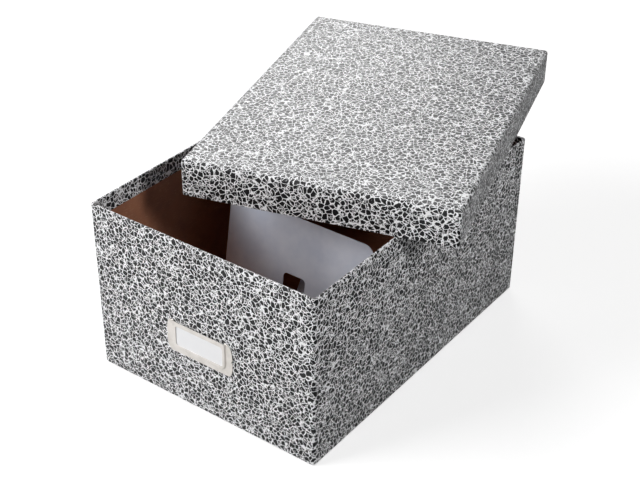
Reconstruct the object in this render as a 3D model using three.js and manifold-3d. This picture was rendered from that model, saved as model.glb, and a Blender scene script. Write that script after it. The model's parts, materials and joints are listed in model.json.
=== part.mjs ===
// Index card file box: a fibreboard tray covered with marbled paper, a lift-off lid lying askew on its rim,
// a stamped label holder with a blank card, and a bent sheet-steel follower plate standing inside.
// Millimetres, +Z up. The origin is the centre of the base's underside, and the front faces -Y.

import * as THREE from 'three';
import Module from 'manifold-3d';
import { mergeVertices } from 'three/addons/utils/BufferGeometryUtils.js';
import { RoundedBoxGeometry } from 'three/addons/geometries/RoundedBoxGeometry.js';

const wasm = await Module();
wasm.setup();

// Paper and board, shared by the base and the lid
const PAPER = 0.2;
const BOARD = 1.25;
const STAY = 0.15;
const GLUE = 0.05;
const EDGE_RADIUS = 2.5;
const TURN_IN = 15;
const TURN_UNDER = 16;
const CORNER_SLIT = 0.5;
const STAY_LEG = 24;
const STAY_END_MARGIN = 5;

// Base
const BASE_WIDTH = 216;
const BASE_DEPTH = 298.5;
const BASE_HEIGHT = 153;

// Lid, lying flat on the base's rim
const LID_CLEARANCE = 1.3;
const LID_HEIGHT = 30.75;
const LID_YAW = THREE.MathUtils.degToRad(16.4);
const LID_SHIFT_X = 3.6;
const LID_SHIFT_Y = 80.8;

// Label holder on the front, a stamped frame
const HOLDER_WIDTH = 61;
const HOLDER_HEIGHT = 29.5;
const HOLDER_SHEET = 0.5;
const HOLDER_RISE = 1.75;
const HOLDER_CENTRE_X = -1.3;
const HOLDER_CENTRE_Z = 63.2;
const HOLDER_CORNER = 3.5;
const SCALLOP_BULGE = 2.4;
const NOTCH_RADIUS = 1.1;
const WINDOW_WIDTH = 46;
const WINDOW_HEIGHT = 17;
const WINDOW_CORNER = 2.5;
const WINDOW_LIFT = 1.2;
const BORDER = 3.4;
const PANEL_SOFTNESS = 0.6;
const PANEL_STEPS = 3;
const EDGE_SOFTENING = 0.125;
const SEAT_GAP = 0.1;
const CARD_THICKNESS = 0.3;
const CARD_CLEARANCE = 0.4;
const PRONG_WIDTH = 5;
const PRONG_FOLD = 4;
const PRONG_INSET = 2.1;
const SLOT_CLEARANCE = 0.3;

// Follower plate, one bent steel sheet with a tongue cut from its middle
const FOLLOWER_SHEET = 1;
const FOLLOWER_WIDTH = 146;
const FOLLOWER_HEIGHT = 115.5;
const FOLLOWER_LEAN = THREE.MathUtils.degToRad(10.1);
const FOLLOWER_FOOT = 45;
const FOLLOWER_BEND = 3;
const FOLLOWER_CORNER = 10;
const FOOT_CORNER = 8;
const FOLLOWER_CENTRE_X = -2;
const FOLLOWER_FRONT_Y = -40.1;
const TONGUE_OPENING_WIDTH = 22.4;
const TONGUE_OPENING_TOP = 63.5;
const TONGUE_OPENING_CORNER = 3.5;
const TONGUE_SLIT = 0.7;
const TONGUE_RISE = THREE.MathUtils.degToRad(55);
const TONGUE_SETBACK = 3;

// Worked out from the sizes above
const OUTER_GAP = STAY + 2 * GLUE;
const WALL = PAPER + OUTER_GAP + BOARD + GLUE + PAPER;
const LID_WIDTH = BASE_WIDTH + 2 * (LID_CLEARANCE + WALL);
const LID_DEPTH = BASE_DEPTH + 2 * (LID_CLEARANCE + WALL);
const BORDER_WIDTH = WINDOW_WIDTH + 2 * BORDER;
const BORDER_HEIGHT = WINDOW_HEIGHT + 2 * BORDER;
const POCKET_WIDTH = BORDER_WIDTH - 4 * HOLDER_SHEET;
const POCKET_HEIGHT = BORDER_HEIGHT - 4 * HOLDER_SHEET;
const POCKET_DEPTH = HOLDER_RISE - HOLDER_SHEET;
const PRONG_X = HOLDER_WIDTH / 2 - PRONG_INSET;
const PRONG_REACH = PAPER + OUTER_GAP + BOARD + SEAT_GAP + HOLDER_SHEET;
const FACETS = 4;
const PAST = 5;

const CORNERS = [
  { name: 'front_left', x: -1, y: -1 },
  { name: 'front_right', x: 1, y: -1 },
  { name: 'back_left', x: -1, y: 1 },
  { name: 'back_right', x: 1, y: 1 },
];

const materials = {
  agatePaper: new THREE.MeshStandardMaterial({ color: 0x8a8a8a, roughness: 0.55, metalness: 0 }),
  brownBoard: new THREE.MeshStandardMaterial({ color: 0x7a5236, roughness: 0.85, metalness: 0 }),
  kraftTape: new THREE.MeshStandardMaterial({ color: 0xa5825a, roughness: 0.8, metalness: 0 }),
  satinNickel: new THREE.MeshStandardMaterial({ color: 0xd9d1c8, roughness: 0.35, metalness: 1 }),
  whiteCard: new THREE.MeshStandardMaterial({ color: 0xf2f2f0, roughness: 0.7, metalness: 0 }),
  greySteel: new THREE.MeshStandardMaterial({ color: 0x9aa0aa, roughness: 0.4, metalness: 0.8 }),
};

/** Turns a closed three.js geometry into a solid for joining and cutting. */
function solid(geometry) {
  const bare = geometry.clone();
  bare.deleteAttribute('normal');
  bare.deleteAttribute('uv');
  const merged = mergeVertices(bare, 1e-4);
  const mesh = new wasm.Mesh({
    numProp: 3,
    vertProperties: new Float32Array(merged.attributes.position.array),
    triVerts: new Uint32Array(merged.index.array),
  });
  mesh.merge();
  return new wasm.Manifold(mesh);
}

/** Turns a solid back into a three.js geometry. */
function geometryOf(manifold) {
  const mesh = manifold.getMesh();
  const geometry = new THREE.BufferGeometry();
  geometry.setAttribute('position', new THREE.BufferAttribute(mesh.vertProperties, 3));
  geometry.setIndex(new THREE.BufferAttribute(mesh.triVerts, 1));
  geometry.computeVertexNormals();
  return geometry;
}

/** A rectangle with round corners, centred on the origin. */
function roundedRectangle(width, height, radius) {
  const x = width / 2;
  const y = height / 2;
  const r = Math.max(radius, 0.01);
  const shape = new THREE.Shape();
  shape.moveTo(-x + r, -y);
  shape.absarc(x - r, -y + r, r, -Math.PI / 2, 0);
  shape.absarc(x - r, y - r, r, 0, Math.PI / 2);
  shape.absarc(-x + r, y - r, r, Math.PI / 2, Math.PI);
  shape.absarc(-x + r, -y + r, r, Math.PI, Math.PI * 1.5);
  return shape;
}

/** An upright prism of a flat shape, from one height to another. */
function prism(shape, bottom, top) {
  const depth = top - bottom;
  const geometry = new THREE.ExtrudeGeometry(shape, { depth, bevelEnabled: false, curveSegments: FACETS });
  return solid(geometry.translate(0, 0, bottom));
}

/** A plain box between two corners. */
function block(min, max) {
  const size = max.map((value, axis) => value - min[axis]);
  const geometry = new THREE.BoxGeometry(...size);
  return solid(geometry.translate(...min.map((value, axis) => value + size[axis] / 2)));
}

/** The same solid, moved. */
function moved(body, x, y, z) {
  return solid(geometryOf(body).translate(x, y, z));
}

/** A tub-like body: round at its vertical edges and along its bottom, flat at its top. */
function tub(width, depth, bottom, top, radius) {
  const height = top - bottom + 2 * radius;
  const body = new RoundedBoxGeometry(width, depth, height, FACETS, Math.max(radius, 0.01));
  const above = block([-width, -depth, top], [width, depth, top + 4 * radius + PAST]);
  return solid(body.translate(0, 0, bottom + height / 2)).subtract(above);
}

/** The room inside a wall, as a prism with the corner radius left by that wall. */
function roomInside(width, depth, wall, bottom, top) {
  return prism(roundedRectangle(width - 2 * wall, depth - 2 * wall, EDGE_RADIUS - wall), bottom, top);
}

/** Paper skin of a tray: walls, a fold over the rim, a turn-in, and a full or turned-under floor. */
function traySkin(width, depth, height, fullFloor) {
  const board = tub(width - 2 * PAPER, depth - 2 * PAPER, PAPER, height - PAPER, EDGE_RADIUS - PAPER);
  const mouth = roomInside(width, depth, WALL, height - PAST, height + PAST);
  const turnIn = roomInside(width, depth, WALL - PAPER, height - TURN_IN, height)
    .subtract(roomInside(width, depth, WALL, height - TURN_IN - PAST, height + PAST));
  let skin = tub(width, depth, 0, height, EDGE_RADIUS).subtract(board).subtract(mouth).add(turnIn);
  if (!fullFloor) {
    skin = skin.subtract(roomInside(width, depth, TURN_UNDER, -PAST, PAST));
  }
  return skin;
}

/** Board of a tray, folded up at its floor and butted at its corners, inside the paper's own folds. */
function trayBoard(width, depth, height, innerFloor) {
  const outside = PAPER + OUTER_GAP;
  const rim = height - PAPER - GLUE;
  const inside = outside + BOARD;
  const radius = EDGE_RADIUS - outside;
  let board = tub(width - 2 * outside, depth - 2 * outside, outside, rim, radius)
    .subtract(tub(width - 2 * inside, depth - 2 * inside, innerFloor, rim + PAST, radius - BOARD));
  const slitBottom = innerFloor + EDGE_RADIUS;
  for (const corner of CORNERS) {
    const slit = new THREE.BoxGeometry(4 * EDGE_RADIUS, CORNER_SLIT, height)
      .rotateZ(corner.x * corner.y * Math.PI / 4)
      .translate(corner.x * (width / 2 - outside), corner.y * (depth / 2 - outside), slitBottom + height / 2);
    board = board.subtract(solid(slit));
  }
  return board;
}

/** Tape that holds one butted corner together, between the board and the paper. */
function cornerStay(width, depth, height, corner) {
  const outside = PAPER + GLUE;
  const bottom = 2 * EDGE_RADIUS + STAY_END_MARGIN;
  const top = height - STAY_END_MARGIN;
  const ring = roomInside(width, depth, outside, bottom, top)
    .subtract(roomInside(width, depth, outside + STAY, bottom - PAST, top + PAST));
  const edge = [corner.x * width / 2, corner.y * depth / 2];
  const inner = [edge[0] - corner.x * STAY_LEG, edge[1] - corner.y * STAY_LEG];
  const low = edge.map((value, axis) => Math.min(value, inner[axis]));
  const high = edge.map((value, axis) => Math.max(value, inner[axis]));
  return ring.intersect(block([...low, bottom - PAST], [...high, top + PAST]));
}

/** A strip bent once: a straight run along +x, a round bend to the left by angle, and a second run. */
function bentStrip(firstRun, angle, secondRun, bend, thickness) {
  const outer = bend + thickness;
  const setback = outer * Math.tan(angle / 2);
  const start = firstRun - setback;
  const along = new THREE.Vector2(Math.cos(angle), Math.sin(angle));
  const out = new THREE.Vector2(Math.sin(angle), -Math.cos(angle));
  const centre = new THREE.Vector2(start, outer);
  const outerEnd = centre.clone().addScaledVector(out, outer).addScaledVector(along, secondRun - setback);
  const innerEnd = outerEnd.clone().addScaledVector(out, -thickness);
  const shape = new THREE.Shape();
  shape.moveTo(0, 0);
  shape.lineTo(start, 0);
  shape.absarc(centre.x, centre.y, outer, -Math.PI / 2, angle - Math.PI / 2);
  shape.lineTo(outerEnd.x, outerEnd.y);
  shape.lineTo(innerEnd.x, innerEnd.y);
  shape.absarc(centre.x, centre.y, bend, angle - Math.PI / 2, -Math.PI / 2, true);
  shape.lineTo(0, thickness);
  return shape;
}

/** Extrudes a side profile to a width across X. Its +x runs towards -Y, so a bend to the left rises. */
function acrossX(shape, width) {
  const settings = { depth: width, bevelEnabled: false, curveSegments: 2 * FACETS };
  const basis = new THREE.Matrix4().makeBasis(
    new THREE.Vector3(0, -1, 0), new THREE.Vector3(0, 0, 1), new THREE.Vector3(-1, 0, 0));
  return new THREE.ExtrudeGeometry(shape, settings).translate(0, 0, -width / 2).applyMatrix4(basis);
}

/** A prism through a sheet, drawn in the sheet's own plane: x across, y up the slope from its foot. */
function throughSlope(shape, lean, reach) {
  const basis = new THREE.Matrix4().makeBasis(
    new THREE.Vector3(1, 0, 0),
    new THREE.Vector3(0, Math.sin(lean), Math.cos(lean)),
    new THREE.Vector3(0, -Math.cos(lean), Math.sin(lean)));
  return solid(geometryOf(prism(shape, -reach, reach)).applyMatrix4(basis));
}

/** What lies outside a rectangle's round upper corners, for trimming a sheet's end. */
function cornerTrim(width, height, radius) {
  const surround = new THREE.Shape();
  surround.moveTo(-width, height - 2 * radius);
  surround.lineTo(width, height - 2 * radius);
  surround.lineTo(width, height + 2 * radius);
  surround.lineTo(-width, height + 2 * radius);
  const kept = roundedRectangle(width, 2 * height, radius);
  return { surround, kept };
}

/** Rounds the upper corners of a leaning sheet. */
function roundUpperCorners(sheet, width, height, radius, lean, reach) {
  const { surround, kept } = cornerTrim(width, height, radius);
  return sheet.subtract(throughSlope(surround, lean, reach).subtract(throughSlope(kept, lean, 2 * reach)));
}

/** The follower: foot, leaning face with its opening, and the tongue bent back from that opening. */
function followerPlate() {
  const faceTurn = Math.PI / 2 + FOLLOWER_LEAN;
  const face = bentStrip(FOLLOWER_FOOT, faceTurn, FOLLOWER_HEIGHT, FOLLOWER_BEND, FOLLOWER_SHEET);
  let plate = solid(acrossX(face, FOLLOWER_WIDTH).translate(0, FOLLOWER_FOOT, 0));
  const reach = 3 * (FOLLOWER_BEND + FOLLOWER_SHEET);
  plate = roundUpperCorners(plate, FOLLOWER_WIDTH, FOLLOWER_HEIGHT, FOLLOWER_CORNER, FOLLOWER_LEAN, reach);

  const footOutline = prism(
    roundedRectangle(FOLLOWER_WIDTH, 2 * FOLLOWER_FOOT, FOOT_CORNER), -PAST, FOLLOWER_SHEET + PAST);
  const footBand = block(
    [-FOLLOWER_WIDTH, FOLLOWER_FOOT - 2 * FOOT_CORNER, -PAST],
    [FOLLOWER_WIDTH, FOLLOWER_FOOT + PAST, 2 * FOLLOWER_SHEET]);
  plate = plate.subtract(footBand.subtract(footOutline));

  const openingBottom = -reach;
  const openingHeight = TONGUE_OPENING_TOP - openingBottom;
  const opening = throughSlope(
    roundedRectangle(TONGUE_OPENING_WIDTH, openingHeight, TONGUE_OPENING_CORNER), FOLLOWER_LEAN, reach);
  const lift = openingBottom + openingHeight / 2;
  const slope = new THREE.Vector3(0, Math.sin(FOLLOWER_LEAN), Math.cos(FOLLOWER_LEAN)).multiplyScalar(lift);
  plate = plate.subtract(moved(opening, slope.x, slope.y, slope.z));

  const tongueWidth = TONGUE_OPENING_WIDTH - 2 * TONGUE_SLIT;
  const tongueLength = TONGUE_OPENING_TOP - TONGUE_SLIT - TONGUE_SETBACK;
  const tongueRun = FOLLOWER_FOOT / 2;
  const strip = bentStrip(tongueRun, Math.PI - TONGUE_RISE, tongueLength, FOLLOWER_BEND, FOLLOWER_SHEET);
  let tongue = solid(acrossX(strip, tongueWidth).translate(0, tongueRun, 0));
  tongue = roundUpperCorners(
    tongue, tongueWidth, tongueLength, TONGUE_OPENING_CORNER, Math.PI / 2 - TONGUE_RISE, 2 * FOLLOWER_SHEET);
  return plate.add(moved(tongue, 0, TONGUE_SETBACK, 0));
}

/** Outline of the label holder: straight above and below, two shallow lobes and a notch at each end. */
function holderOutline() {
  const x = HOLDER_WIDTH / 2;
  const y = HOLDER_HEIGHT / 2;
  const r = HOLDER_CORNER;
  const bulge = x + SCALLOP_BULGE;
  const shape = new THREE.Shape();
  shape.moveTo(-x + r, -y);
  shape.lineTo(x - r, -y);
  shape.quadraticCurveTo(x, -y, x + SCALLOP_BULGE / 2, -y + r);
  shape.quadraticCurveTo(bulge, -y / 2, bulge, -NOTCH_RADIUS);
  shape.absarc(bulge, 0, NOTCH_RADIUS, -Math.PI / 2, -Math.PI * 1.5, true);
  shape.quadraticCurveTo(bulge, y / 2, x + SCALLOP_BULGE / 2, y - r);
  shape.quadraticCurveTo(x, y, x - r, y);
  shape.lineTo(-x + r, y);
  shape.quadraticCurveTo(-x, y, -x - SCALLOP_BULGE / 2, y - r);
  shape.quadraticCurveTo(-bulge, y / 2, -bulge, NOTCH_RADIUS);
  shape.absarc(-bulge, 0, NOTCH_RADIUS, Math.PI / 2, -Math.PI / 2, true);
  shape.quadraticCurveTo(-bulge, -y / 2, -x - SCALLOP_BULGE / 2, -y + r);
  shape.quadraticCurveTo(-x, -y, -x + r, -y);
  return shape;
}

/** One prong of the label holder, through the wall and folded over inside it towards the centre. */
function holderProng(side) {
  const throughWall = HOLDER_SHEET / 2 + SEAT_GAP + PRONG_REACH;
  const profile = bentStrip(throughWall, Math.PI / 2, PRONG_FOLD, HOLDER_SHEET / 2, HOLDER_SHEET);
  const geometry = new THREE.ExtrudeGeometry(profile, {
    depth: PRONG_WIDTH, bevelEnabled: false, curveSegments: FACETS });
  const basis = new THREE.Matrix4().makeBasis(
    new THREE.Vector3(0, 0, -1), new THREE.Vector3(-side, 0, 0), new THREE.Vector3(0, side, 0));
  geometry.translate(0, 0, -PRONG_WIDTH / 2).applyMatrix4(basis);
  return solid(geometry.translate(side * PRONG_X, 0, HOLDER_SHEET / 2));
}

/** The raised panel round the window, cut off open at the holder's upper edge so that a card slides in. */
function raisedPanel() {
  const soften = HOLDER_RISE * PANEL_SOFTNESS;
  const height = BORDER_HEIGHT + HOLDER_HEIGHT;
  const panel = new THREE.ExtrudeGeometry(roundedRectangle(BORDER_WIDTH, height, WINDOW_CORNER + BORDER), {
    depth: HOLDER_RISE - soften,
    bevelThickness: soften,
    bevelSize: soften,
    bevelOffset: -soften,
    bevelSegments: PANEL_STEPS,
    curveSegments: FACETS,
  });
  const behind = block([-BORDER_WIDTH, -height, -PAST], [BORDER_WIDTH, height, 0]);
  const above = block(
    [-BORDER_WIDTH, HOLDER_HEIGHT / 2 - EDGE_SOFTENING, -PAST],
    [BORDER_WIDTH, 2 * height, HOLDER_RISE + PAST]);
  return moved(solid(panel).subtract(behind), 0, WINDOW_LIFT + HOLDER_HEIGHT / 2, 0).subtract(above);
}

/** The stamped label holder: its back lies in the plane z = 0, and it faces +z. */
function labelHolder() {
  const flange = new THREE.ExtrudeGeometry(holderOutline(), {
    depth: HOLDER_SHEET - 2 * EDGE_SOFTENING,
    bevelThickness: EDGE_SOFTENING,
    bevelSize: EDGE_SOFTENING,
    bevelOffset: -EDGE_SOFTENING,
    bevelSegments: 1,
    curveSegments: 2 * FACETS,
  });
  const pocketHeight = POCKET_HEIGHT + HOLDER_HEIGHT;
  const pocket = moved(
    prism(roundedRectangle(POCKET_WIDTH, pocketHeight, WINDOW_CORNER), -PAST, POCKET_DEPTH),
    0, HOLDER_HEIGHT / 2, 0);
  const window = prism(
    roundedRectangle(WINDOW_WIDTH, WINDOW_HEIGHT, WINDOW_CORNER), -PAST, HOLDER_RISE + PAST);
  return moved(solid(flange), 0, 0, EDGE_SOFTENING)
    .add(raisedPanel())
    .subtract(moved(pocket, 0, WINDOW_LIFT, 0))
    .subtract(moved(window, 0, WINDOW_LIFT, 0))
    .add(holderProng(-1))
    .add(holderProng(1));
}

/** The blank card behind the holder's window, against the inside of its border. */
function labelCard() {
  const shape = roundedRectangle(POCKET_WIDTH - 2 * CARD_CLEARANCE, POCKET_HEIGHT - 2 * CARD_CLEARANCE, 0);
  const top = POCKET_DEPTH - SEAT_GAP;
  return moved(prism(shape, top - CARD_THICKNESS, top), 0, WINDOW_LIFT, 0);
}

/** Stands something drawn in x, y, z up against the front, facing -Y, at the label holder's place. */
function onFront(body) {
  const basis = new THREE.Matrix4().makeBasis(
    new THREE.Vector3(1, 0, 0), new THREE.Vector3(0, 0, 1), new THREE.Vector3(0, -1, 0));
  const geometry = geometryOf(body).applyMatrix4(basis);
  return solid(geometry.translate(HOLDER_CENTRE_X, -BASE_DEPTH / 2 - SEAT_GAP, HOLDER_CENTRE_Z));
}

/** The two slots that the holder's prongs pass through. */
function prongSlots() {
  const slots = [-1, 1].map((side) => {
    const outer = HOLDER_CENTRE_X + side * (PRONG_X + SLOT_CLEARANCE);
    const inner = HOLDER_CENTRE_X + side * (PRONG_X - HOLDER_SHEET - 2 * SLOT_CLEARANCE);
    const reachZ = PRONG_WIDTH / 2 + SLOT_CLEARANCE;
    return block(
      [Math.min(outer, inner), -BASE_DEPTH / 2 - PAST, HOLDER_CENTRE_Z - reachZ],
      [Math.max(outer, inner), -BASE_DEPTH / 2 + PAST, HOLDER_CENTRE_Z + reachZ]);
  });
  return slots[0].add(slots[1]);
}

/** Turns a tray upside down about its own middle, for the lid. */
function inverted(body, height) {
  const basis = new THREE.Matrix4().makeBasis(
    new THREE.Vector3(1, 0, 0), new THREE.Vector3(0, -1, 0), new THREE.Vector3(0, 0, -1));
  return solid(geometryOf(body).applyMatrix4(basis).translate(0, 0, height));
}

/** A named sub-part. */
function part(name, body, material) {
  const mesh = new THREE.Mesh(geometryOf(body), material);
  mesh.name = name;
  return mesh;
}

/** The base: board, paper, corner stays, label holder and card. */
function baseGroup() {
  const group = new THREE.Group();
  const slots = prongSlots();
  const underside = roomInside(BASE_WIDTH, BASE_DEPTH, TURN_UNDER + 2 * GLUE, 0, BOARD);
  const board = trayBoard(BASE_WIDTH, BASE_DEPTH, BASE_HEIGHT, BOARD).add(underside).subtract(slots);
  const skin = traySkin(BASE_WIDTH, BASE_DEPTH, BASE_HEIGHT, false).subtract(slots);
  group.add(part('base_board', board, materials.brownBoard));
  group.add(part('base_wrap', skin, materials.agatePaper));
  for (const corner of CORNERS) {
    const stay = cornerStay(BASE_WIDTH, BASE_DEPTH, BASE_HEIGHT, corner);
    group.add(part(`base_corner_stay_${corner.name}`, stay, materials.kraftTape));
  }
  group.add(part('label_holder', onFront(labelHolder()), materials.satinNickel));
  group.add(part('label_card', onFront(labelCard()), materials.whiteCard));
  return group;
}

/** The lid, in its own frame with its rim at z = 0. */
function lidGroup() {
  const group = new THREE.Group();
  const board = trayBoard(LID_WIDTH, LID_DEPTH, LID_HEIGHT, PAPER + OUTER_GAP + BOARD);
  const skin = traySkin(LID_WIDTH, LID_DEPTH, LID_HEIGHT, true);
  group.add(part('lid_board', inverted(board, LID_HEIGHT), materials.brownBoard));
  group.add(part('lid_wrap', inverted(skin, LID_HEIGHT), materials.agatePaper));
  for (const corner of CORNERS) {
    const stay = cornerStay(LID_WIDTH, LID_DEPTH, LID_HEIGHT, corner);
    group.add(part(`lid_corner_stay_${corner.name}`, inverted(stay, LID_HEIGHT), materials.kraftTape));
  }
  group.position.set(LID_SHIFT_X, LID_SHIFT_Y, BASE_HEIGHT);
  group.rotation.z = LID_YAW;
  return group;
}

/** The follower plate, standing on the base's floor. */
function followerGroup() {
  const group = new THREE.Group();
  group.add(part('follower_plate', followerPlate(), materials.greySteel));
  group.position.set(FOLLOWER_CENTRE_X, FOLLOWER_FRONT_Y, BOARD);
  return group;
}

const box = new THREE.Group();
box.add(baseGroup(), lidGroup(), followerGroup());

export default box;
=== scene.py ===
"""Dresses the index card file box: marbled paper, fibreboard, a nickel label holder and a steel follower.

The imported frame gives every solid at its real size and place. This script adds the papers' rounded folds,
the softened edges of the label holder and the follower, the finishes, a pale floor, soft studio light and a
camera.
"""

from __future__ import annotations

import json
import logging
import math
from dataclasses import dataclass, field
from enum import Enum

import bmesh
import bpy
from mathutils import Matrix, Vector

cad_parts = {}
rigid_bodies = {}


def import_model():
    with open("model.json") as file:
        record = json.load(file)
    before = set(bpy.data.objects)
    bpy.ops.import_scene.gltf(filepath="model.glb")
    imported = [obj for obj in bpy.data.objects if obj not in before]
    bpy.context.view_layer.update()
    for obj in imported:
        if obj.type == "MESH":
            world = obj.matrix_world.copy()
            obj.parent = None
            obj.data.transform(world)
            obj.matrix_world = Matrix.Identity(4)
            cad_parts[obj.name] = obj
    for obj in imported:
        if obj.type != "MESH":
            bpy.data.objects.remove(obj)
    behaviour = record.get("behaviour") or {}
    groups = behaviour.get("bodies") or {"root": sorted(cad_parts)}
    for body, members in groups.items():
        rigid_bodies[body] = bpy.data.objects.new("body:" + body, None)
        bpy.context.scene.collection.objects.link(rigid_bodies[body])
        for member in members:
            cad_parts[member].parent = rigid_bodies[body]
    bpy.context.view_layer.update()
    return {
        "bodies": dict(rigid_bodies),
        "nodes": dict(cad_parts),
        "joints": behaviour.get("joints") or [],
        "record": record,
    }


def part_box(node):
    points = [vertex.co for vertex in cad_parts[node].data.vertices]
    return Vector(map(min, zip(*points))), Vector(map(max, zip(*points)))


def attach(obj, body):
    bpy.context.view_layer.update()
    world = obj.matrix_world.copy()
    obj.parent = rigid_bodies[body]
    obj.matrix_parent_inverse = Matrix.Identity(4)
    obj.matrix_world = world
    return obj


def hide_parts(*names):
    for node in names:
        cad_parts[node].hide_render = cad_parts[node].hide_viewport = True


LOG = logging.getLogger("card_file_box")
MM = 0.001
WHITE = (1.0, 1.0, 1.0, 1.0)
Colour = tuple[float, float, float, float]
Pair = tuple[float, float]
Triple = tuple[float, float, float]


class Slot(Enum):
    """Names of the record's material slots; the pieces here take their finishes from Finishes instead."""

    PAPER = "agate_paper"
    NICKEL = "satin_nickel"
    STEEL = "grey_steel"


class Body(Enum):
    """Bodies of the frame that pieces ride on."""

    BASE = "base"
    FOLLOWER = "follower"


class Floor(Enum):
    """How a paper cover closes the flat side of its tray."""

    TURNED_UNDER = "turned_under"
    COVERED = "covered"


def linear(red: int, green: int, blue: int) -> Colour:
    """Turns a display colour into a linear one.

    Args:
        red: Red from 0 to 255.
        green: Green from 0 to 255.
        blue: Blue from 0 to 255.

    Returns:
        The linear colour with full alpha.
    """

    def channel(value: int) -> float:
        """Decodes one channel."""
        share = value / 255
        return share / 12.92 if share <= 0.04045 else ((share + 0.055) / 1.055) ** 2.4

    return (channel(red), channel(green), channel(blue), 1.0)


class Signal:
    """A shader value in an expression: each operator adds the Math node that it stands for."""

    def __init__(self, graph: "Graph", socket: bpy.types.NodeSocket) -> None:
        """Keeps the output socket and the graph that it belongs to."""
        self.graph = graph
        self.socket = socket

    def math(self, operation: str, *others: "Signal | float", swap: bool = False) -> "Signal":
        """Adds a Math node.

        Args:
            operation: The Math node's operation.
            others: The operands beside this value.
            swap: Whether this value comes second.

        Returns:
            The node's result.
        """
        operands = (*others, self) if swap else (self, *others)
        node = self.graph.node("ShaderNodeMath", {"operation": operation}, dict(enumerate(operands)))
        return Signal(self.graph, node.outputs[0])

    def __add__(self, other: "Signal | float") -> "Signal":
        """Adds."""
        return self.math("ADD", other)

    def __sub__(self, other: "Signal | float") -> "Signal":
        """Subtracts."""
        return self.math("SUBTRACT", other)

    def __rsub__(self, other: float) -> "Signal":
        """Subtracts this from a number."""
        return self.math("SUBTRACT", other, swap=True)

    def __mul__(self, other: "Signal | float") -> "Signal":
        """Multiplies."""
        return self.math("MULTIPLY", other)

    __radd__ = __add__
    __rmul__ = __mul__

    def larger(self, other: "Signal | float") -> "Signal":
        """Gives the larger of two values."""
        return self.math("MAXIMUM", other)

    def rise(self, low: "Signal | float", high: "Signal | float") -> "Signal":
        """Rises smoothly from 0 at one value to 1 at another.

        Args:
            low: Where the result is 0.
            high: Where the result is 1.

        Returns:
            The smooth step.
        """
        inputs = {"Value": self, "From Min": low, "From Max": high}
        node = self.graph.node("ShaderNodeMapRange", {"interpolation_type": "SMOOTHSTEP"}, inputs)
        return Signal(self.graph, node.outputs["Result"])


class Graph:
    """A node tree, with one short method for adding nodes."""

    def __init__(self, tree: bpy.types.NodeTree) -> None:
        """Keeps the tree."""
        self.tree = tree

    def node(self, kind: str, settings: dict[str, object] | None = None,
             inputs: dict[str | int, object] | None = None) -> bpy.types.Node:
        """Adds a node.

        Args:
            kind: The node's type.
            settings: Its settings, which are set first.
            inputs: Values or links of its sockets, by name or index.

        Returns:
            The node.
        """
        node = self.tree.nodes.new(kind)
        for name, value in (settings or {}).items():
            setattr(node, name, value)
        for key, value in (inputs or {}).items():
            self.feed(node.inputs[key], value)
        return node

    def feed(self, socket: bpy.types.NodeSocket, value: object) -> None:
        """Links a socket, or sets it.

        Args:
            socket: The input.
            value: A signal, an output socket or a constant.
        """
        if isinstance(value, Signal):
            value = value.socket
        if isinstance(value, bpy.types.NodeSocket):
            self.tree.links.new(value, socket)
        else:
            socket.default_value = value


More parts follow.
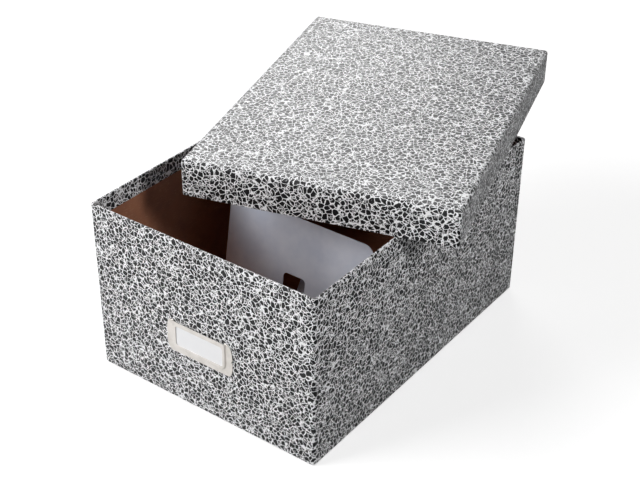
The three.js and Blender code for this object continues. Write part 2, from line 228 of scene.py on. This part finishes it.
class Finish(Graph):
    """A Principled material in the making, with the textures that the finishes share, in millimetres."""

    def __init__(self, name: str) -> None:
        """Starts the material."""
        self.material = bpy.data.materials.new(name)
        self.material.use_nodes = True
        super().__init__(self.material.node_tree)
        self.shader = self.tree.nodes["Principled BSDF"]
        coordinates = self.node("ShaderNodeTexCoord")
        self.place = self.vector("SCALE", coordinates.outputs["Object"], {"Scale": 1 / MM})

    def vector(self, operation: str, first: object, inputs: dict[str | int, object]) -> bpy.types.NodeSocket:
        """Adds a Vector Math node and gives its vector."""
        node = self.node("ShaderNodeVectorMath", {"operation": operation}, {0: first, **inputs})
        return node.outputs["Vector"]

    def noise(self, size: float, detail: float = 2.0, rough: float = 0.5,
              place: bpy.types.NodeSocket | None = None) -> Signal:
        """Adds a noise texture.

        Args:
            size: Size of its largest lumps, in millimetres.
            detail: Octaves.
            rough: How strong the finer octaves are.
            place: Coordinates in millimetres, or None for the object's own.

        Returns:
            The noise, round 0.5.
        """
        inputs = {"Vector": place or self.place, "Scale": 1 / size, "Detail": detail, "Roughness": rough}
        return Signal(self, self.node("ShaderNodeTexNoise", None, inputs).outputs["Fac"])

    def stretched(self, factors: Triple) -> bpy.types.NodeSocket:
        """Gives the coordinates scaled along each axis."""
        return self.vector("MULTIPLY", self.place, {1: factors})

    def warped(self, size: float, reach: float,
               place: bpy.types.NodeSocket | None = None) -> bpy.types.NodeSocket:
        """Pushes coordinates about with a noise.

        Args:
            size: Size of the noise, in millimetres.
            reach: How far a point may move, in millimetres.
            place: Coordinates to push, or None for the object's own.

        Returns:
            The moved coordinates.
        """
        here = place or self.place
        push = self.node("ShaderNodeTexNoise", None, {"Vector": here, "Scale": 1 / size, "Detail": 1.0})
        centred = self.vector("SUBTRACT", push.outputs["Color"], {1: (0.5, 0.5, 0.5)})
        return self.vector("MULTIPLY_ADD", centred, {1: (2 * reach,) * 3, 2: here})

    def cells(self, size: float, place: bpy.types.NodeSocket) -> Signal:
        """Gives the distance to the nearest wall of a net of cells, as a share of their size.

        Args:
            size: Size of the cells, in millimetres.
            place: Coordinates in millimetres.

        Returns:
            The distance.
        """
        inputs = {"Vector": place, "Scale": 1 / size}
        node = self.node("ShaderNodeTexVoronoi", {"feature": "DISTANCE_TO_EDGE"}, inputs)
        return Signal(self, node.outputs["Distance"])

    def mix(self, share: Signal | float, first: object, second: object) -> bpy.types.NodeSocket:
        """Mixes two colours.

        Args:
            share: Share of the second.
            first: The colour at 0.
            second: The colour at 1.

        Returns:
            The mixed colour.
        """
        node = self.node("ShaderNodeMix", {"data_type": "RGBA"}, {"Factor": share})
        self.feed(node.inputs[6], first)
        self.feed(node.inputs[7], second)
        return node.outputs[2]

    def set(self, **inputs: object) -> None:
        """Feeds the shader's sockets, named with underscores for spaces."""
        for name, value in inputs.items():
            self.feed(self.shader.inputs[name.replace("_", " ")], value)

    def relief(self, height: Signal, depth: float) -> None:
        """Drives the shader's normal by a height.

        Args:
            height: The height, from 0 to 1.
            depth: What a height of 1 stands for, in millimetres.
        """
        node = self.node("ShaderNodeBump", None, {"Height": height, "Distance": depth * MM, "Strength": 1.0})
        self.feed(self.shader.inputs["Normal"], node.outputs["Normal"])


@dataclass(frozen=True)
class AgatePaper:
    """Marbled paper: a broken net of white veins over near-black, under a calendered gloss.

    Lengths are millimetres, vein widths are shares of a cell, and a pair with "bend" or "drift" in its name
    is the size and the reach of a warp.
    """

    name: str
    cell: float = 3.9
    vein: float = 0.062
    swell: float = 0.06
    swell_size: float = 2.5
    vein_edge: Pair = (0.01, 0.015)
    drift: Pair = (17.0, 3.0)
    bend: Pair = (2.6, 0.8)
    fine_share: float = 0.55
    fine_bend: Pair = (2.4, 0.8)
    fine_edge: Pair = (0.045, 0.07)
    patch: float = 5.0
    patch_edge: Pair = (0.53, 0.57)
    ink: Colour = linear(15, 15, 17)
    pale: Colour = linear(252, 252, 254)
    gloss: float = 0.35
    rough: float = 0.3
    rough_swing: float = 0.1
    rough_cloud: float = 60.0
    tooth: float = 0.35
    tooth_share: float = 0.02
    cockle: float = 45.0
    cockle_depth: float = 0.3

    def veins(self, finish: Finish) -> Signal:
        """Draws the net of veins.

        Args:
            finish: The material in the making.

        Returns:
            The veins, 1 where the paper is pale and 0 where it is dark.
        """
        drift = finish.warped(*self.drift)
        width = self.vein + self.swell * (2.0 * finish.noise(self.swell_size, 1.0) - 1.0)
        coarse = finish.cells(self.cell, finish.warped(*self.bend, drift))
        net = 1.0 - coarse.rise(width - self.vein_edge[0], width + self.vein_edge[1])
        fine = finish.cells(self.cell * self.fine_share, finish.warped(*self.fine_bend, drift))
        patches = finish.noise(self.patch, 1.0).rise(*self.patch_edge)
        return net.larger((1.0 - fine.rise(*self.fine_edge)) * patches)

    def make(self) -> bpy.types.Material:
        """Builds the material.

        Returns:
            The material.
        """
        finish = Finish(self.name)
        finish.set(Base_Color=finish.mix(self.veins(finish), self.ink, self.pale))
        cloud = finish.noise(self.rough_cloud, 3.0)
        finish.set(Roughness=self.rough + self.rough_swing * cloud, Specular_IOR_Level=self.gloss)
        tooth = self.tooth_share * finish.noise(self.tooth, 3.0)
        finish.relief(tooth + finish.noise(self.cockle, 1.0), self.cockle_depth)
        return finish.material


@dataclass(frozen=True)
class BrownBoard:
    """Bare fibreboard: brown, with short pale and dark fibres and soft clouds. Lengths are millimetres."""

    name: str = "brown_fibreboard"
    base: Colour = linear(160, 107, 79)
    dark: Colour = linear(140, 93, 69)
    pale: Colour = linear(176, 132, 104)
    cloud: float = 22.0
    fibre: float = 1.2
    fibre_run: Triple = (1.0, 0.3, 1.0)
    fibre_share: float = 0.5
    fleck: float = 0.7
    fleck_run: Triple = (1.0, 0.45, 1.0)
    fleck_share: float = 0.4
    rough: float = 0.55
    rough_swing: float = 0.2
    relief_depth: float = 0.06
    relief_cloud: float = 0.4

    def make(self) -> bpy.types.Material:
        """Builds the material.

        Returns:
            The material.
        """
        finish = Finish(self.name)
        cloud = finish.noise(self.cloud, 4.0, 0.55)
        fibres = finish.noise(self.fibre, 2.0, place=finish.stretched(self.fibre_run))
        flecks = finish.noise(self.fleck, 2.0, place=finish.stretched(self.fleck_run))
        ground = finish.mix(cloud.rise(0.25, 0.75), self.dark, self.base)
        haired = finish.mix(fibres.rise(0.55, 0.75) * self.fibre_share, ground, self.pale)
        finish.set(Base_Color=finish.mix(flecks.rise(0.62, 0.72) * self.fleck_share, haired, self.dark))
        finish.set(Roughness=self.rough + self.rough_swing * cloud)
        finish.relief(fibres + self.relief_cloud * cloud, self.relief_depth)
        return finish.material


@dataclass(frozen=True)
class KraftTape:
    """Plain brown gummed tape with a faint laid grain. Lengths are millimetres."""

    name: str = "kraft_tape"
    base: Colour = linear(176, 138, 96)
    pale: Colour = linear(196, 162, 120)
    grain: float = 1.5
    grain_run: Triple = (1.0, 1.0, 0.25)
    grain_depth: float = 0.03
    rough: float = 0.6
    rough_swing: float = 0.15

    def make(self) -> bpy.types.Material:
        """Builds the material.

        Returns:
            The material.
        """
        finish = Finish(self.name)
        grain = finish.noise(self.grain, 3.0, place=finish.stretched(self.grain_run))
        finish.set(Base_Color=finish.mix(grain.rise(0.3, 0.7), self.base, self.pale))
        finish.set(Roughness=self.rough + self.rough_swing * grain)
        finish.relief(grain, self.grain_depth)
        return finish.material


@dataclass(frozen=True)
class SatinNickel:
    """Satin nickel plate: warm, soft and finely brushed along its length. Lengths are millimetres."""

    name: str = "satin_nickel"
    base: Colour = linear(236, 231, 226)
    dull: Colour = linear(222, 217, 211)
    metal: float = 0.7
    brush: float = 0.35
    brush_run: Triple = (0.04, 1.0, 1.0)
    brush_depth: float = 0.006
    cloud: float = 9.0
    rough: float = 0.34
    rough_brush: float = 0.08
    rough_cloud: float = 0.06

    def make(self) -> bpy.types.Material:
        """Builds the material.

        Returns:
            The material.
        """
        finish = Finish(self.name)
        brushing = finish.noise(self.brush, 2.0, place=finish.stretched(self.brush_run))
        cloud = finish.noise(self.cloud, 3.0)
        finish.set(Base_Color=finish.mix(cloud.rise(0.35, 0.7), self.base, self.dull), Metallic=self.metal)
        finish.set(Roughness=self.rough + self.rough_brush * brushing + self.rough_cloud * cloud)
        finish.relief(brushing, self.brush_depth)
        return finish.material


@dataclass(frozen=True)
class WhiteCard:
    """Smooth white index card. Lengths are millimetres."""

    name: str = "white_card"
    base: Colour = linear(250, 250, 251)
    shade: Colour = linear(245, 245, 247)
    cloud: float = 6.0
    tooth: float = 0.3
    relief_depth: float = 0.02
    rough: float = 0.55
    rough_swing: float = 0.1

    def make(self) -> bpy.types.Material:
        """Builds the material.

        Returns:
            The material.
        """
        finish = Finish(self.name)
        cloud = finish.noise(self.cloud, 3.0)
        finish.set(Base_Color=finish.mix(cloud, self.base, self.shade))
        finish.set(Roughness=self.rough + self.rough_swing * cloud)
        finish.relief(finish.noise(self.tooth, 2.0) + cloud, self.relief_depth)
        return finish.material


@dataclass(frozen=True)
class GreySteel:
    """Cold-rolled sheet: blue-grey, with rolling lines, clouds and wear. Lengths are millimetres."""

    name: str = "grey_steel"
    base: Colour = linear(234, 240, 252)
    dull: Colour = linear(216, 224, 240)
    metal: float = 0.55
    cloud: float = 28.0
    rolling: float = 0.6
    rolling_run: Triple = (1.0, 0.05, 0.05)
    rolling_share: float = 0.03
    smudge: float = 7.0
    wear: float = 75.0
    wave: float = 40.0
    wave_depth: float = 0.2
    rough: float = 0.5
    rough_rolling: float = 0.04
    rough_smudge: float = 0.05
    rough_wear: float = 0.1

    def make(self) -> bpy.types.Material:
        """Builds the material.

        Returns:
            The material.
        """
        finish = Finish(self.name)
        cloud = finish.noise(self.cloud, 3.0, 0.55)
        rolling = finish.noise(self.rolling, 2.0, place=finish.stretched(self.rolling_run))
        smudge = finish.noise(self.smudge, 2.0).rise(0.55, 0.75)
        worn = finish.noise(self.wear, 1.0).rise(0.35, 0.65)
        handled = self.rough_smudge * smudge + self.rough_wear * worn
        finish.set(Base_Color=finish.mix(cloud.rise(0.3, 0.75), self.base, self.dull), Metallic=self.metal)
        finish.set(Roughness=self.rough + self.rough_rolling * rolling + handled)
        finish.relief(self.rolling_share * rolling + finish.noise(self.wave, 1.0), self.wave_depth)
        return finish.material


@dataclass
class Finishes:
    """Every finish, made once."""

    base_paper: bpy.types.Material
    lid_paper: bpy.types.Material
    board: bpy.types.Material
    tape: bpy.types.Material
    nickel: bpy.types.Material
    card: bpy.types.Material
    steel: bpy.types.Material


def make_finishes() -> Finishes:
    """Makes the finishes.

    Returns:
        The finishes.
    """
    return Finishes(
        base_paper=AgatePaper("agate_paper_base").make(),
        lid_paper=AgatePaper("agate_paper_lid", cell=4.0).make(),
        board=BrownBoard().make(),
        tape=KraftTape().make(),
        nickel=SatinNickel().make(),
        card=WhiteCard().make(),
        steel=GreySteel().make(),
    )


def dress(node: bpy.types.Object, material: bpy.types.Material) -> None:
    """Gives a solid of the frame one material.

    Args:
        node: The solid's object.
        material: The material.
    """
    for slot in node.material_slots:
        slot.material = material
    if not node.material_slots:
        node.data.materials.append(material)


def new_piece(name: str, mesh: bpy.types.Mesh, material: bpy.types.Material,
              body: Body) -> bpy.types.Object:
    """Puts a finished mesh into the scene as a piece that rides on a body.

    Args:
        name: The piece's name.
        mesh: Its mesh, in the frame's own coordinates.
        material: Its finish.
        body: The body that it rides on.

    Returns:
        The piece.
    """
    mesh.name = name
    if not mesh.materials:
        mesh.materials.append(material)
    piece = bpy.data.objects.new(name, mesh)
    bpy.context.scene.collection.objects.link(piece)
    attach(piece, body.value)
    return piece


def evaluated_mesh(holder: bpy.types.Object) -> bpy.types.Mesh:
    """Turns an object and its modifiers into a plain mesh, and removes the object.

    Args:
        holder: The object.

    Returns:
        The plain mesh.
    """
    graph = bpy.context.evaluated_depsgraph_get()
    graph.update()
    mesh = bpy.data.meshes.new_from_object(holder.evaluated_get(graph), depsgraph=graph)
    data = holder.data
    bpy.data.objects.remove(holder)
    bpy.data.meshes.remove(data)
    return mesh


def softened(node: bpy.types.Object, width: float, segments: int = 2, angle: float = 40.0,
             weld: float = 0.002, flat: float = 1.0, evenness: int = 80) -> bpy.types.Mesh:
    """Copies a solid and rounds its sharp edges a little, so that they catch the light.

    Args:
        node: The solid's object.
        width: Width of the rounding, in millimetres.
        segments: Steps across it.
        angle: Edges sharper than this are rounded, in degrees.
        weld: Points closer than this are merged, in millimetres.
        flat: Faces that meet at less than this become one, in degrees.
        evenness: How strongly large faces stay flat in the shading, up to 100.

    Returns:
        The rounded mesh.
    """
    mesh = node.data.copy()
    mesh.materials.clear()
    form = bmesh.new()
    form.from_mesh(mesh)
    bmesh.ops.remove_doubles(form, verts=form.verts, dist=weld * MM)
    bmesh.ops.dissolve_limit(form, angle_limit=math.radians(flat), verts=form.verts, edges=form.edges,
                             use_dissolve_boundaries=False)
    for face in form.faces:
        face.smooth = True
    form.to_mesh(mesh)
    form.free()
    holder = bpy.data.objects.new("softening", mesh)
    bpy.context.scene.collection.objects.link(holder)
    bevel = holder.modifiers.new("rounding", "BEVEL")
    bevel.width = width * MM
    bevel.segments = segments
    bevel.limit_method = "ANGLE"
    bevel.angle_limit = math.radians(angle)
    bevel.use_clamp_overlap = True
    shading = holder.modifiers.new("shading", "WEIGHTED_NORMAL")
    shading.mode = "FACE_AREA"
    shading.weight = evenness
    return evaluated_mesh(holder)


class PaperCoverTree(Graph):
    """Node tree that wraps a tray in paper: a closed section swept round the tray, and a flat panel."""

    SIZES = ("Width", "Depth", "Corner Radius", "Turn Under", "Thickness")
    CORNER_STEPS = 8
    WELD = 0.01

    def __init__(self) -> None:
        """Builds the tree, with named inputs for its sizes."""
        super().__init__(bpy.data.node_groups.new("paper_cover", "GeometryNodeTree"))
        sockets = self.tree.interface
        sockets.new_socket("Section", in_out="INPUT", socket_type="NodeSocketGeometry")
        for name in self.SIZES:
            sockets.new_socket(name, in_out="INPUT", socket_type="NodeSocketFloat")
        sockets.new_socket("Covered", in_out="INPUT", socket_type="NodeSocketBool")
        sockets.new_socket("Material", in_out="INPUT", socket_type="NodeSocketMaterial")
        sockets.new_socket("Cover", in_out="OUTPUT", socket_type="NodeSocketGeometry")
        self.entry = self.node("NodeGroupInput").outputs
        self.build()

    def rectangle(self, inset: bpy.types.NodeSocket | None = None) -> bpy.types.NodeSocket:
        """Gives the tray's outline, inset or not."""
        sizes = {"Width": self.entry["Width"], "Height": self.entry["Depth"]}
        if inset:
            for key, size in sizes.items():
                less = {0: inset, 1: -2.0, 2: size}
                sizes[key] = self.node("ShaderNodeMath", {"operation": "MULTIPLY_ADD"}, less).outputs[0]
        return self.node("GeometryNodeCurvePrimitiveQuadrilateral", {"mode": "RECTANGLE"}, sizes).outputs[0]

    def joined(self, *parts: bpy.types.NodeSocket) -> bpy.types.NodeSocket:
        """Joins geometries."""
        node = self.node("GeometryNodeJoinGeometry")
        for part in parts:
            self.tree.links.new(part, node.inputs[0])
        return node.outputs[0]

    def walls(self) -> bpy.types.NodeSocket:
        """Sweeps the section round the tray's outline."""
        radius = self.entry["Corner Radius"]
        rounding = {"Curve": self.rectangle(), "Radius": radius, "Count": self.CORNER_STEPS}
        path = self.node("GeometryNodeFilletCurve", {"mode": "POLY"}, rounding)
        section = self.node("GeometryNodeMeshToCurve", None, {"Mesh": self.entry["Section"]})
        sweep = {"Curve": path.outputs[0], "Profile Curve": section.outputs[0]}
        inward = self.node("GeometryNodeCurveToMesh", None, sweep).outputs[0]
        return self.node("GeometryNodeFlipFaces", None, {"Mesh": inward}).outputs[0]

    def panel(self) -> bpy.types.NodeSocket:
        """Makes the flat paper: all over a covered tray, or a turned-under border."""
        outer = self.rectangle(self.entry["Corner Radius"])
        border = self.joined(outer, self.rectangle(self.entry["Turn Under"]))
        choice = {"Switch": self.entry["Covered"], "False": border, "True": outer}
        outline = self.node("GeometryNodeSwitch", {"input_type": "GEOMETRY"}, choice).outputs[0]
        sheet = self.node("GeometryNodeFillCurve", {"mode": "NGONS"}, {"Curve": outline}).outputs[0]
        lift = {"Mesh": sheet, "Offset Scale": self.entry["Thickness"], "Individual": False}
        raised = self.node("GeometryNodeExtrudeMesh", {"mode": "FACES"}, lift).outputs["Mesh"]
        underside = self.node("GeometryNodeFlipFaces", None, {"Mesh": sheet}).outputs[0]
        return self.joined(raised, underside)

    def build(self) -> None:
        """Fills the tree."""
        whole = self.joined(self.walls(), self.panel())
        near = {"Geometry": whole, "Distance": self.WELD * MM}
        merged = self.node("GeometryNodeMergeByDistance", None, near)
        real = self.node("GeometryNodeRealizeInstances", None, {0: merged.outputs[0]})
        coat = {"Geometry": real.outputs[0], "Material": self.entry["Material"]}
        coated = self.node("GeometryNodeSetMaterial", None, coat)
        self.node("NodeGroupOutput", None, {0: coated.outputs[0]})


@dataclass
class PaperCover:
    """Paper round one tray, folded over its rim: sizes in millimetres, flat side down."""

    width: float
    depth: float
    height: float
    floor: Floor
    wall: float = 1.95
    paper: float = 0.2
    corner: float = 2.5
    rim: float = 0.6
    turn_in: float = 15.0
    turn_under: float = 16.0
    steps: int = 5
    crease: float = 35.0

    def arc(self, centre: Pair, radius: float, start: float, stop: float) -> list[Pair]:
        """Gives points on an arc of the section.

        Args:
            centre: The arc's centre, as inset and height.
            radius: Its radius.
            start: Its first angle in degrees: -90 is down, 0 is out and 90 is up.
            stop: Its last angle.

        Returns:
            Points as inset and height.
        """
        angles = [math.radians(start + (stop - start) * k / self.steps) for k in range(self.steps + 1)]
        return [(centre[0] - radius * math.cos(a), centre[1] + radius * math.sin(a)) for a in angles]

    def skin(self, depth: float) -> list[Pair]:
        """Gives the section's line at a depth below the paper's face, from the floor to the turn-in's end.

        Args:
            depth: Depth below the face.

        Returns:
            Points as inset and height.
        """
        top = self.height - self.rim
        reach = self.rim - depth
        return [
            *self.arc((self.corner, self.corner), self.corner - depth, -90, 0),
            *self.arc((self.rim, top), reach, 0, 90),
            *self.arc((self.wall - self.rim, top), reach, 90, 180),
            (self.wall - depth, self.height - self.turn_in),
        ]

    def section_mesh(self) -> bpy.types.Mesh:
        """Makes the closed section as a ring of edges, ready to be swept."""
        ring = self.skin(0.0) + list(reversed(self.skin(self.paper)))
        points = [(-inset * MM, -height * MM, 0.0) for inset, height in ring]
        edges = [(k, (k + 1) % len(points)) for k in range(len(points))]
        mesh = bpy.data.meshes.new("section")
        mesh.from_pydata(points, edges, [])
        return mesh

    def make(self, tree: bpy.types.NodeTree, material: bpy.types.Material) -> bpy.types.Mesh:
        """Sweeps the section round the tray.

        Args:
            tree: The cover's node tree.
            material: The paper's finish.

        Returns:
            The cover's mesh, with its flat side on z = 0.
        """
        holder = bpy.data.objects.new("cover", self.section_mesh())
        bpy.context.scene.collection.objects.link(holder)
        modifier = holder.modifiers.new("cover", "NODES")
        modifier.node_group = tree
        values = {
            "Width": self.width * MM,
            "Depth": self.depth * MM,
            "Corner Radius": self.corner * MM,
            "Turn Under": self.turn_under * MM,
            "Thickness": self.paper * MM,
            "Covered": self.floor is Floor.COVERED,
            "Material": material,
        }
        for item in tree.interface.items_tree:
            if item.item_type == "SOCKET" and item.in_out == "INPUT" and item.name in values:
                modifier[item.identifier] = values[item.name]
        mesh = evaluated_mesh(holder)
        for polygon in mesh.polygons:
            polygon.use_smooth = True
        mesh.set_sharp_from_angle(angle=math.radians(self.crease))
        return mesh


@dataclass
class Base:
    """The base: board and paper cover, and the corner tapes of base and lid."""

    frame: dict
    finishes: Finishes

    def cover(self, tree: bpy.types.NodeTree) -> bpy.types.Object:
        """Wraps the base in paper."""
        low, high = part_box("base_wrap")
        size = (high - low) / MM
        cover = PaperCover(size.x, size.y, size.z, Floor.TURNED_UNDER)
        mesh = cover.make(tree, self.finishes.base_paper)
        piece = new_piece("base_paper_cover", mesh, self.finishes.base_paper, Body.BASE)
        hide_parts("base_wrap")
        return piece

    def board(self) -> None:
        """Dresses the board and every corner tape."""
        dress(self.frame["nodes"]["base_board"], self.finishes.board)
        for name, node in self.frame["nodes"].items():
            if "corner_stay" in name:
                dress(node, self.finishes.tape)


@dataclass
class Lid:
    """The lid, lying turned on the base's rim. Lengths are millimetres."""

    frame: dict
    finishes: Finishes
    width: float = 222.5
    depth: float = 305.0
    height: float = 30.75
    yaw: float = math.radians(16.4)
    shift: Pair = (3.6, 80.8)
    rest: float = 153.0

    def place(self) -> Matrix:
        """Gives the matrix from a tray standing on z = 0 to the lid as it lies, upside down on the rim."""
        over = Matrix.Diagonal((1.0, -1.0, -1.0, 1.0))
        lift = Matrix.Translation(Vector((*self.shift, self.rest + self.height)) * MM)
        return lift @ Matrix.Rotation(self.yaw, 4, "Z") @ over

    def cover(self, tree: bpy.types.NodeTree) -> bpy.types.Object:
        """Wraps the lid in paper."""
        cover = PaperCover(self.width, self.depth, self.height, Floor.COVERED)
        mesh = cover.make(tree, self.finishes.lid_paper)
        mesh.transform(self.place())
        piece = new_piece("lid_paper_cover", mesh, self.finishes.lid_paper, Body.BASE)
        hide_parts("lid_wrap")
        return piece

    def board(self) -> None:
        """Dresses the lid's board."""
        dress(self.frame["nodes"]["lid_board"], self.finishes.board)


@dataclass
class Hardware:
    """The label holder, its card and the follower plate. Lengths are millimetres."""

    frame: dict
    finishes: Finishes
    window_centre: Pair = (-1.3, 64.4)
    window_size: Pair = (46.0, 17.0)
    window_corner: float = 2.5
    window_growth: Pair = (1.0, 1.2)
    holder_rounding: float = 0.12
    plate_rounding: float = 0.25

    def widen_window(self, mesh: bpy.types.Mesh, slack: float = 0.35) -> None:
        """Moves the window's right and upper edges out, with their corners.

        Args:
            mesh: The holder's mesh.
            slack: How far past the window's outline its softened edge may lie.
        """
        half = [size / 2 for size in self.window_size]
        for vertex in mesh.vertices:
            place = (vertex.co.x / MM - self.window_centre[0], vertex.co.z / MM - self.window_centre[1])
            if all(abs(place[k]) < half[k] + slack for k in range(2)):
                moves = [place[k] > half[k] - self.window_corner - slack for k in range(2)]
                vertex.co.x += moves[0] * self.window_growth[0] * MM
                vertex.co.z += moves[1] * self.window_growth[1] * MM

    def label(self) -> bpy.types.Object:
        """Rounds the stamped holder's edges and dresses its card."""
        nodes = self.frame["nodes"]
        mesh = softened(nodes["label_holder"], self.holder_rounding)
        self.widen_window(mesh)
        holder = new_piece("label_holder_frame", mesh, self.finishes.nickel, Body.BASE)
        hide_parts("label_holder")
        dress(nodes["label_card"], self.finishes.card)
        return holder

    def follower(self) -> bpy.types.Object:
        """Rounds the follower's sheared edges."""
        mesh = softened(self.frame["nodes"]["follower_plate"], self.plate_rounding)
        plate = new_piece("follower_sheet", mesh, self.finishes.steel, Body.FOLLOWER)
        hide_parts("follower_plate")
        return plate


@dataclass(frozen=True)
class Lamp:
    """One soft lamp aimed at the box. Lengths are metres, and power is watts."""

    name: str
    place: Triple
    size: Pair
    power: float
    target: Triple = (0.0, 0.05, 0.1)

    def build(self) -> None:
        """Adds the lamp."""
        data = bpy.data.lights.new(self.name, "AREA")
        data.shape = "RECTANGLE"
        data.size, data.size_y = self.size
        data.energy = self.power
        lamp = bpy.data.objects.new(self.name, data)
        lamp.location = self.place
        aim = Vector(self.target) - Vector(self.place)
        lamp.rotation_euler = aim.to_track_quat("-Z", "Y").to_euler()
        bpy.context.scene.collection.objects.link(lamp)


@dataclass
class Studio:
    """Floor, light and camera. Lengths are metres, but reflection_glow_falls is millimetres."""

    eye: Vector = field(default_factory=lambda: Vector((0.5438, -0.7396, 0.6673)))
    heading: float = math.radians(36.19)
    dip: float = math.radians(32.37)
    roll: float = math.radians(0.52)
    focal: float = 1302.6
    picture_width: float = 640.0
    sensor: float = 36.0
    sight: float = 50.0
    floor_reach: float = 6.0
    floor_white: Colour = (0.55, 0.55, 0.55, 1.0)
    # Painted reflection: the floor's colour and glow as glossy rays see them, which set the sheen painted on
    # the box's sides.
    floor_reflected_dark: Colour = (0.12, 0.12, 0.12, 1.0)
    floor_rough: float = 0.6
    floor_gloss: float = 0.2
    floor_seen: float = 0.66
    floor_reflection_glow: float = 0.3
    reflection_glow_falls: Pair = (-250.0, 100.0)
    ambient: float = 0.05
    lamps: tuple[Lamp, ...] = (
        Lamp("front_softbox", (-1.45, -1.75, 1.5), (1.5, 1.3), 64.0),
        Lamp("right_softbox", (2.2, -0.2, 1.6), (0.5, 0.5), 26.0),
        Lamp("back_softbox", (-1.7, 1.7, 1.35), (1.5, 1.2), 19.0),
    )

    def camera(self) -> None:
        """Places the camera at the photograph's viewpoint."""
        data = bpy.data.cameras.new("camera")
        data.sensor_width = self.sensor
        data.lens = self.focal * self.sensor / self.picture_width
        data.clip_end = self.sight
        camera = bpy.data.objects.new("camera", data)
        turn = Matrix.Rotation(self.heading, 4, "Z") @ Matrix.Rotation(math.pi / 2 - self.dip, 4, "X")
        camera.matrix_world = Matrix.Translation(self.eye) @ turn @ Matrix.Rotation(self.roll, 4, "Z")
        bpy.context.scene.collection.objects.link(camera)
        bpy.context.scene.camera = camera

    def floor_finish(self) -> bpy.types.Material:
        """Makes the floor's finish: white to the eye, with a painted reflection: to glossy rays it glows in
        front and turns dark behind, which paints the sheen on the box's sides.

        Returns:
            The material.
        """
        finish = Finish("white_floor")
        rays = finish.node("ShaderNodeLightPath").outputs
        seen = Signal(finish, rays["Is Camera Ray"])
        mirrored = Signal(finish, rays["Is Glossy Ray"])
        across = finish.node("ShaderNodeSeparateXYZ", None, {0: finish.place}).outputs
        # Painted reflection: to glossy rays the floor darkens towards the back right and glows towards the
        # front left.
        reflection_darkening = (Signal(finish, across["X"]) + Signal(finish, across["Y"])).rise(*self.reflection_glow_falls)
        finish.set(Base_Color=finish.mix(mirrored * reflection_darkening, self.floor_white, self.floor_reflected_dark))
        finish.set(Roughness=self.floor_rough, Specular_IOR_Level=self.floor_gloss, Emission_Color=WHITE)
        finish.set(Emission_Strength=self.floor_seen * seen + self.floor_reflection_glow * mirrored * (1.0 - reflection_darkening))
        return finish.material

    def floor(self) -> None:
        """Lays a white floor that keeps the box's shadow."""
        reach = self.floor_reach
        corners = [(-reach, -reach, 0), (reach, -reach, 0), (reach, reach, 0), (-reach, reach, 0)]
        mesh = bpy.data.meshes.new("floor")
        mesh.from_pydata(corners, [], [(0, 1, 2, 3)])
        mesh.materials.append(self.floor_finish())
        floor = bpy.data.objects.new("floor", mesh)
        bpy.context.scene.collection.objects.link(floor)

    def world(self) -> None:
        """Gives the surroundings a faint light that the camera and gloss see as white."""
        world = bpy.data.worlds.new("studio")
        bpy.context.scene.world = world
        world.use_nodes = True
        graph = Graph(world.node_tree)
        rays = graph.node("ShaderNodeLightPath").outputs
        seen = Signal(graph, rays["Is Camera Ray"]).larger(Signal(graph, rays["Is Glossy Ray"]))
        background = graph.tree.nodes["Background"].inputs
        graph.feed(background["Color"], WHITE)
        graph.feed(background["Strength"], self.ambient + (1.0 - self.ambient) * seen)

    def build(self) -> None:
        """Builds the camera, the floor and the light."""
        self.camera()
        self.floor()
        self.world()
        for lamp in self.lamps:
            lamp.build()
        bpy.context.scene.view_settings.view_transform = "Standard"


def main() -> None:
    """Loads the frame, dresses the box and sets up the studio."""
    logging.basicConfig(level=logging.INFO, format="%(name)s: %(message)s")
    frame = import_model()
    Studio().build()
    finishes = make_finishes()
    tree = PaperCoverTree().tree
    base = Base(frame, finishes)
    base.board()
    lid = Lid(frame, finishes)
    lid.board()
    hardware = Hardware(frame, finishes)
    for piece in (base.cover(tree), lid.cover(tree), hardware.label(), hardware.follower()):
        corners = [piece.matrix_world @ Vector(corner) for corner in piece.bound_box]
        spans = [max(c[axis] for c in corners) - min(c[axis] for c in corners) for axis in range(3)]
        LOG.info("%s: %d faces, %s mm", piece.name, len(piece.data.polygons),
                 " x ".join(f"{span / MM:.1f}" for span in spans))


if __name__ == "__main__":
    main()
